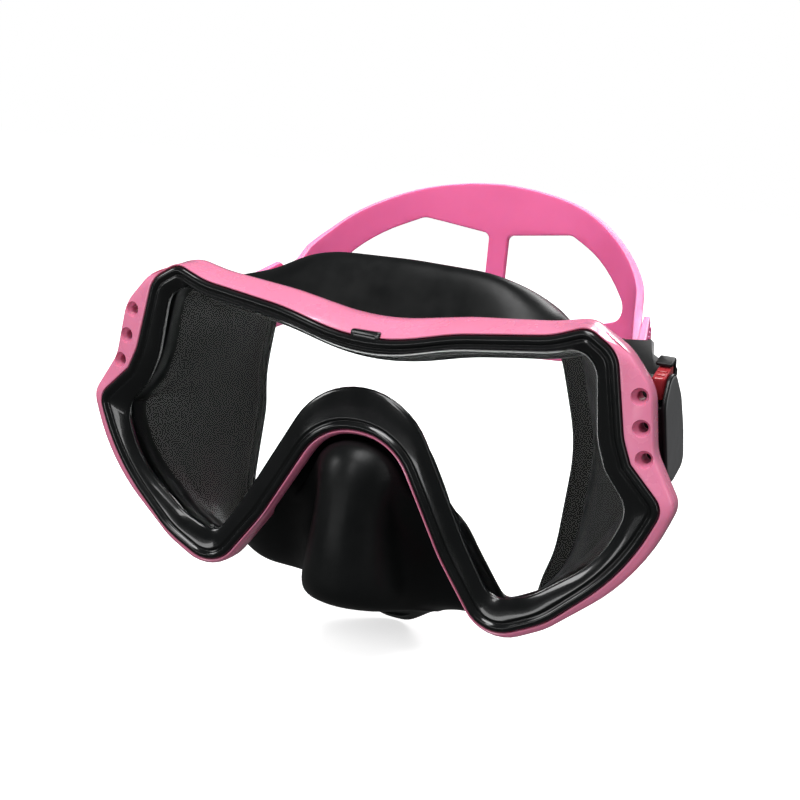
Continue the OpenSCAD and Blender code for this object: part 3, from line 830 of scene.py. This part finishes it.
# Heights in the buckle's own axes, on its upper side; flipped() gives the lower side's
GUIDE_LOW = 5
GUIDE_TOP = 12.1
SEAT_T = 0.8
HOOD_LOW = 15.0
HOOD_T = 0.9
KEY_LOW = 8.3
KEY_TOP = 14.6
TONGUE_LOW = 7.8
TONGUE_TOP = 9.5
RIB_SINK = 0.15
RIB_T = 0.45


def side_matrix(sign):
    mirror = Matrix.Diagonal((sign, 1, 1, 1))
    return mirror @ Matrix.Translation(PIVOT * MM) @ Matrix.Rotation(PITCH, 4, "X")


def yawed():
    return Matrix.Translation(ROLLER * MM) @ Matrix.Rotation(YAW, 4, "Z")


def flipped(z):
    """The height that mirrors z across the strap's middle."""
    return 2 * STRAP_MID - z


COVER = outline([(-9.2, -10, 5), (-9.6, 10, 6), (-4, 14.5, 5), (1, 14.5, 5), (5.5, 6, 8),
                 (7, -4, 10), (6.6, -14.5, 4), (-5, -14.5, 4)])


def cover_lean(p):
    return -0.07 * p[1]


def make_housing(side, sign):
    place = side_matrix(sign)
    turned = place @ yawed()
    plate = outline([(-8, -5, 6), (-8, 5.5, 6), (-4.6, ARM_OUT + STRAP_MID, 2),
                     (4.6, ARM_OUT + STRAP_MID, 1), (4.6, STRAP_MID - ARM_OUT, 1),
                     (-4.6, STRAP_MID - ARM_OUT, 2)])
    pieces = [prism("plate", plate, PLATE_IN, PLATE_OUT, "x", "black_plastic", place, 0.5)]
    arm = outline([(PLATE_IN, 1, 0.6), (PLATE_OUT, 1, 0.4), (72.8, 4.9, 0.3),
                   (GUIDE_OUT, 4.9, 0.8), (GUIDE_OUT, 7.5, 1), (PLATE_OUT, 9.5, 2),
                   (68.8, 13, 3), (66.6, 20.8, 1.2), (58.2, 18.6, 1.2), (60.4, 9, 3),
                   (64, 3.5, 1.5)])
    for low, high in ((STRAP_MID + ARM_IN, STRAP_MID + ARM_OUT),
                      (STRAP_MID - ARM_OUT, STRAP_MID - ARM_IN)):
        pieces.append(prism("arm", arm, low, high, "z", "black_plastic", place, 0.45))
    for x0, x1 in ((-4.1, -2.9), (2.9, 4.1)):
        bar = box_shape(x0, 6.5, x1, 11.5, 0.45)
        pieces.append(prism("bar", bar, STRAP_MID - ARM_OUT + 0.3, STRAP_MID + ARM_OUT - 0.3, "z",
                            "black_plastic", turned, 0.3))
    for end in (1, -1):
        z0, z1 = (GUIDE_LOW, GUIDE_TOP) if end > 0 else (flipped(GUIDE_TOP), flipped(GUIDE_LOW))
        for y, rise in ((-4.8, -5.5), (4.7, 3.3)):
            top, low = (z1 + rise, z0) if end > 0 else (z1, z0 - rise)
            wall = box_shape(GUIDE_IN, y, GUIDE_OUT, y + GUIDE_T, 0.3)
            pieces.append(prism("guide", wall, low, top, "z", "black_plastic", place, 0.25))
        hood = box_shape(GUIDE_IN, 1.2, GUIDE_OUT, 5.8, 0.6)
        roof = HOOD_LOW if end > 0 else flipped(HOOD_LOW + HOOD_T)
        pieces.append(prism("hood", hood, roof, roof + HOOD_T, "z", "black_plastic", place, 0.3))
        seat_z = z0 if end > 0 else z1 - SEAT_T
        seat = box_shape(74.4, -4.8, GUIDE_OUT, 5.8, 0.3)
        pieces.append(prism("seat", seat, seat_z, seat_z + SEAT_T, "z", "black_plastic", place, 0.2))
    pieces.append(side_wall(place))
    settle(join(side + "_buckle_body", pieces), side + "_buckle", "black_plastic",
           side + "_buckle_housing")


def side_wall(place):
    """Curved wall along the front edge, which closes the housing under the cover."""
    wall = [p for p in inset(COVER, 0.9) if p[0] < 1 and -13 < p[1] < 8.6]
    wall = spaced(sorted(wall, key=lambda p: p[1]), 40, False)
    loops = []
    for k, p in enumerate(wall):
        a, b = wall[max(k - 1, 0)], wall[min(k + 1, len(wall) - 1)]
        d = unit((b[0] - a[0], b[1] - a[1]))
        section = box_shape(72.2, 0, 77.9 + cover_lean(p), 1.3, 0.3)
        loops.append([(x, p[0] + d[1] * w, p[1] - d[0] * w) for x, w in section])
    return loft("wall", loops, "black_plastic", closed=False, caps=True, place=place)


def make_cover(side, sign):
    place = side_matrix(sign)
    shell = prism("shell", COVER, 77.7, 78.8, "x", "black_plastic", place, 0.4, 0, cover_lean)
    panel = prism("panel", inset(COVER, 0.5), 78.5, 79.0, "x", "grey_plastic", place, 0.25, 0.35,
                  cover_lean)
    settle(join(side + "_cover_shell", [shell, panel]), side + "_buckle", "grey_plastic",
           side + "_buckle_cover")


def make_button(side, sign, end):
    place = side_matrix(sign)
    z0, z1 = (KEY_LOW, KEY_TOP) if end > 0 else (flipped(KEY_TOP), flipped(KEY_LOW))
    top = KEY_TOP if end > 0 else flipped(KEY_TOP)
    slope = outline([(73, -4.9, 0.9), (76.4, -4.4, 1.1), (76.4, 3.9, 0.8), (73, 4.5, 0.6)])
    pieces = [prism("pad", slope, z0, z1, "z", "red_plastic", place, 0.5)]
    for k in range(2):
        y = -3.3 + k * 2.1
        rib = box_shape(73.5, y, 76.0, y + 0.9, 0.3)
        low = top - RIB_SINK if end > 0 else top - RIB_T + RIB_SINK
        pieces.append(prism("rib", rib, low, low + RIB_T, "z", "red_plastic", place, 0.18))
    tongue = (TONGUE_LOW, TONGUE_TOP) if end > 0 else (flipped(TONGUE_TOP), flipped(TONGUE_LOW))
    pieces.append(prism("tongue", box_shape(73, -2, 73.9, 3, 0.25), *tongue, "z", "red_plastic",
                        place, 0.15))
    which = "upper" if end > 0 else "lower"
    settle(join(f"{side}_{which}_key", pieces), f"{side}_{which}_release", "red_plastic",
           f"{side}_{which}_button")


# ---------------------------------------------------------------- the object

make_camera()
make_stage()

for row in frame["record"]["subparts"]:
    target = frame["nodes"][row["node"]]
    target.data.materials.clear()
    target.data.materials.append(MATS[row["material_slot"]])

make_ring()
make_frame()
make_skirt()
make_strap()
for side_name, side_sign in SIDES.items():
    make_housing(side_name, side_sign)
    make_cover(side_name, side_sign)
    for end_sign in (1, -1):
        make_button(side_name, side_sign, end_sign)
